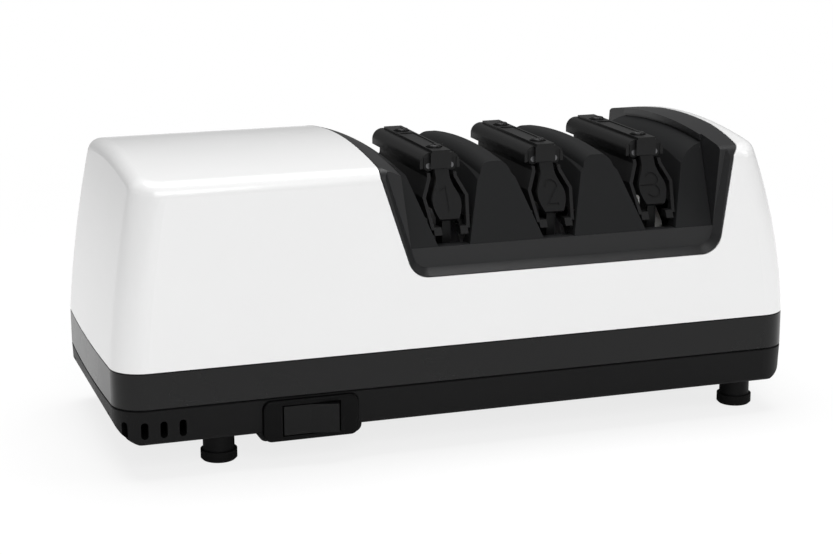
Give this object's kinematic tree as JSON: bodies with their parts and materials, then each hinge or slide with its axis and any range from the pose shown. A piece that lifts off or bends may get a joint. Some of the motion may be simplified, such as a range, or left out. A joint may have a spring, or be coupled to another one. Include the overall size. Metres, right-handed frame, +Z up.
{
  "type": "electric knife sharpener",
  "caption": "Countertop electric knife sharpener with numbered slotted stages, a motor-driven disk line and a side rocker switch.",
  "frame": {"origin": "table height under the middle of the body", "axes": "+X along the body past stages 1, 2 and 3; +Y to the back; +Z up"},
  "size_m": [0.257, 0.1144, 0.1065],
  "materials": {
    "shell": "glossy white moulded plastic",
    "band": "satin black moulded plastic",
    "pan": "matte textured black plastic",
    "insert": "matte black plastic",
    "fin": "matte dark grey plastic",
    "guide": "satin black plastic",
    "arm": "satin black plastic",
    "steel": "bright steel",
    "zinc": "zinc-plated steel",
    "coat": "diamond-coated steel disk",
    "strop": "cream flexible polishing disk",
    "copper": "lacquered copper wire",
    "lamination": "stacked steel laminations",
    "aluminium": "die-cast aluminium",
    "bronze": "sintered bronze",
    "grey": "grey plastic",
    "magnet": "ferrite",
    "rubber": "black rubber"
  },
  "bodies": {
    "housing": {"upper_housing": "shell", "base_band": "band", "base_pan": "pan", "slot_bezel": "insert", "guide_screws": "zinc", "guide_pins": "steel", "motor_stator": "lamination", "motor_winding": "copper", "motor_bracket_fan": "aluminium", "motor_bracket_drive": "aluminium", "bearing_fan": "bronze", "bearing_drive": "bronze", "bearing_outboard": "bronze", "motor_bolts": "zinc", "mount_screws": "zinc", "bearing_bracket": "aluminium", "dust_tray": "grey", "swarf_magnets": "magnet", "switch_bezel": "insert", "switch_body": "grey", "cord_gland": "band", "rubber_feet": "rubber", "housing_screws": "zinc", "angle_fin_1": "fin", "angle_fin_2": "fin", "angle_fin_3": "fin", "angle_fin_4": "fin", "guide_frame_1": "guide", "knife_guide_1": "guide", "guide_frame_2": "guide", "knife_guide_2": "guide", "guide_frame_3": "guide", "knife_guide_3": "guide"},
    "rotor": {"drive_shaft": "steel", "rotor_core": "lamination", "cooling_fan": "grey", "retaining_clips": "zinc", "disk_spring_1": "steel", "disk_spring_2": "steel", "disk_spring_3": "steel"},
    "rocker": {"switch_rocker": "guide"},
    "cover": {"cleanout_cover": "pan"},
    "disk_1_left": {"disk_1_left": "coat"},
    "arm_1_left": {"guide_arm_1_left": "arm"},
    "disk_1_right": {"disk_1_right": "coat"},
    "arm_1_right": {"guide_arm_1_right": "arm"},
    "disk_2_left": {"disk_2_left": "coat"},
    "arm_2_left": {"guide_arm_2_left": "arm"},
    "disk_2_right": {"disk_2_right": "coat"},
    "arm_2_right": {"guide_arm_2_right": "arm"},
    "disk_3_left": {"disk_3_left": "strop"},
    "arm_3_left": {"guide_arm_3_left": "arm"},
    "disk_3_right": {"disk_3_right": "strop"},
    "arm_3_right": {"guide_arm_3_right": "arm"}
  },
  "joints": [
    {"name": "rotor_spin", "type": "hinge", "parent": "housing", "child": "rotor", "pos_m": [0, 0, 0.0495], "axis": [1, 0, 0], "continuous": true},
    {"name": "disk_1_left_slide", "type": "slide", "parent": "rotor", "child": "disk_1_left", "axis": [1, 0, 0], "range_m": [0, 0.0012], "stiffness_N_per_m": 400, "springref_m": -0.002, "deforming": ["disk_spring_1"]},
    {"name": "disk_1_right_slide", "type": "slide", "parent": "rotor", "child": "disk_1_right", "axis": [-1, 0, 0], "range_m": [0, 0.0012], "stiffness_N_per_m": 400, "springref_m": -0.002, "deforming": ["disk_spring_1"]},
    {"name": "disk_2_left_slide", "type": "slide", "parent": "rotor", "child": "disk_2_left", "axis": [1, 0, 0], "range_m": [0, 0.0012], "stiffness_N_per_m": 400, "springref_m": -0.002, "deforming": ["disk_spring_2"]},
    {"name": "disk_2_right_slide", "type": "slide", "parent": "rotor", "child": "disk_2_right", "axis": [-1, 0, 0], "range_m": [0, 0.0012], "stiffness_N_per_m": 400, "springref_m": -0.002, "deforming": ["disk_spring_2"]},
    {"name": "disk_3_left_slide", "type": "slide", "parent": "rotor", "child": "disk_3_left", "axis": [1, 0, 0], "range_m": [0, 0.0012], "stiffness_N_per_m": 400, "springref_m": -0.002, "deforming": ["disk_spring_3"]},
    {"name": "disk_3_right_slide", "type": "slide", "parent": "rotor", "child": "disk_3_right", "axis": [-1, 0, 0], "range_m": [0, 0.0012], "stiffness_N_per_m": 400, "springref_m": -0.002, "deforming": ["disk_spring_3"]},
    {"name": "arm_1_left_hinge", "type": "hinge", "parent": "housing", "child": "arm_1_left", "pos_m": [-0.0095, 0, 0.099], "axis": [0, -1, 0], "range_deg": [0, 6], "stiffness_Nm_per_rad": 0.05, "springref_deg": -5.73},
    {"name": "arm_1_right_hinge", "type": "hinge", "parent": "housing", "child": "arm_1_right", "pos_m": [-0.0011, 0, 0.099], "axis": [0, 1, 0], "range_deg": [0, 6], "stiffness_Nm_per_rad": 0.05, "springref_deg": -5.73},
    {"name": "arm_2_left_hinge", "type": "hinge", "parent": "housing", "child": "arm_2_left", "pos_m": [0.0305, 0, 0.099], "axis": [0, -1, 0], "range_deg": [0, 6], "stiffness_Nm_per_rad": 0.05, "springref_deg": -5.73},
    {"name": "arm_2_right_hinge", "type": "hinge", "parent": "housing", "child": "arm_2_right", "pos_m": [0.0389, 0, 0.099], "axis": [0, 1, 0], "range_deg": [0, 6], "stiffness_Nm_per_rad": 0.05, "springref_deg": -5.73},
    {"name": "arm_3_left_hinge", "type": "hinge", "parent": "housing", "child": "arm_3_left", "pos_m": [0.0705, 0, 0.099], "axis": [0, -1, 0], "range_deg": [0, 6], "stiffness_Nm_per_rad": 0.05, "springref_deg": -5.73},
    {"name": "arm_3_right_hinge", "type": "hinge", "parent": "housing", "child": "arm_3_right", "pos_m": [0.0789, 0, 0.099], "axis": [0, 1, 0], "range_deg": [0, 6], "stiffness_Nm_per_rad": 0.05, "springref_deg": -5.73},
    {"name": "rocker_tilt", "type": "hinge", "parent": "housing", "child": "rocker", "pos_m": [-0.0598, -0.05295, 0.0166], "axis": [0, 0, 1], "range_deg": [0, 16]},
    {"name": "cover_slide", "type": "slide", "parent": "housing", "child": "cover", "axis": [0, 1, 0], "range_m": [0, 0.032]}
  ]
}
